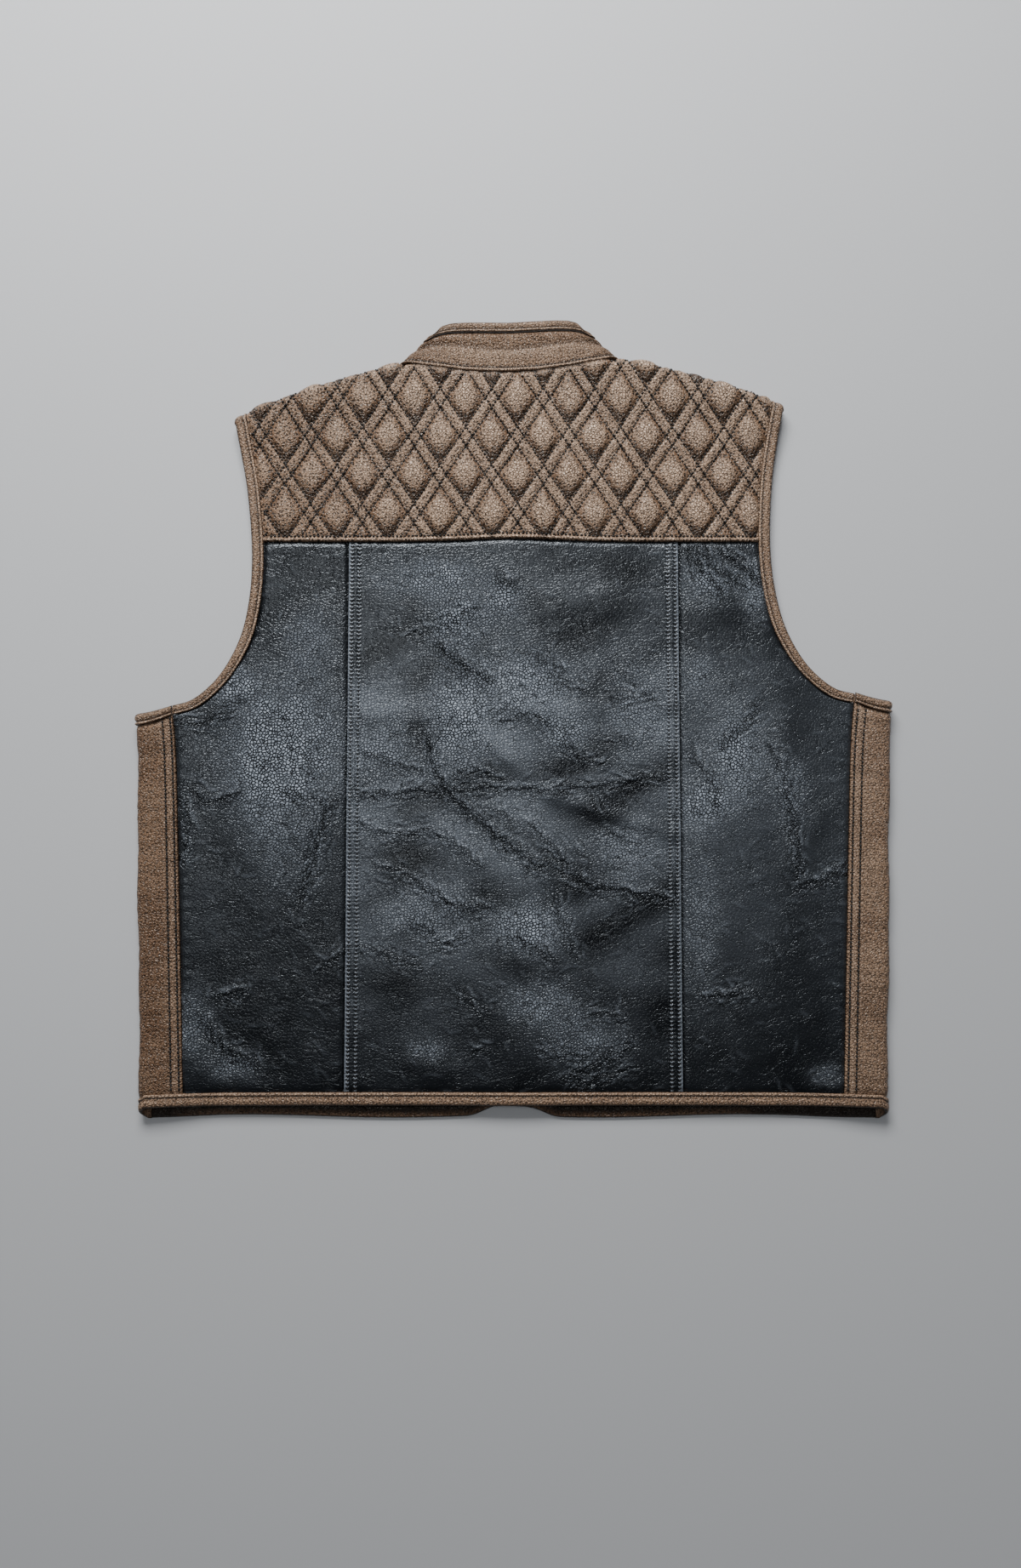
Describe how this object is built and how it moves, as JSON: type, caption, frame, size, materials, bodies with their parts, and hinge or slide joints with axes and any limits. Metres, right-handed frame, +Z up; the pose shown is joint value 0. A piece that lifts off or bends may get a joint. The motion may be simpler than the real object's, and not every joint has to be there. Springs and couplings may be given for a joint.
{
  "type": "leather vest",
  "caption": "Sleeveless leather vest laid flat on its front: plain black panels, a diamond-quilted brown yoke, brown side strips, bound edges and a stand collar.",
  "frame": {"origin": "middle of the laid vest's box, on the surface that it rests on", "axes": "+X towards the right as seen from above, +Y from the hem towards the collar, +Z up from the resting surface through the back of the vest, which lies on top"},
  "size_m": [0.611, 0.6482, 0.0142],
  "materials": {
    "black_leather": "semi-matt pebbled grain with a cool sheen",
    "quilted_brown_leather": "semi-matt, fine grain with dark pores",
    "brown_leather": "semi-matt, fine grain with dark pores",
    "brown_binding": "semi-matt, folded and stitched",
    "thread": "dark waxed sewing thread",
    "dark_steel": "dark plated, satin"
  },
  "bodies": {
    "root": {"back_centre": "black_leather", "yoke": "quilted_brown_leather", "collar": "brown_leather", "collar_binding": "brown_binding", "hem_binding_back": "brown_binding", "back_side_left": "black_leather", "front_left": "black_leather", "side_strip_left": "brown_leather", "armhole_binding_left": "brown_binding", "armhole_cap_left": "brown_binding", "hem_binding_front_left": "brown_binding", "back_side_right": "black_leather", "front_right": "black_leather", "side_strip_right": "brown_leather", "armhole_binding_right": "brown_binding", "armhole_cap_right": "brown_binding", "hem_binding_front_right": "brown_binding", "press_stud_1": "dark_steel", "press_stud_2": "dark_steel", "press_stud_3": "dark_steel", "press_stud_4": "dark_steel", "press_stud_5": "dark_steel"}
  },
  "joints": []
}
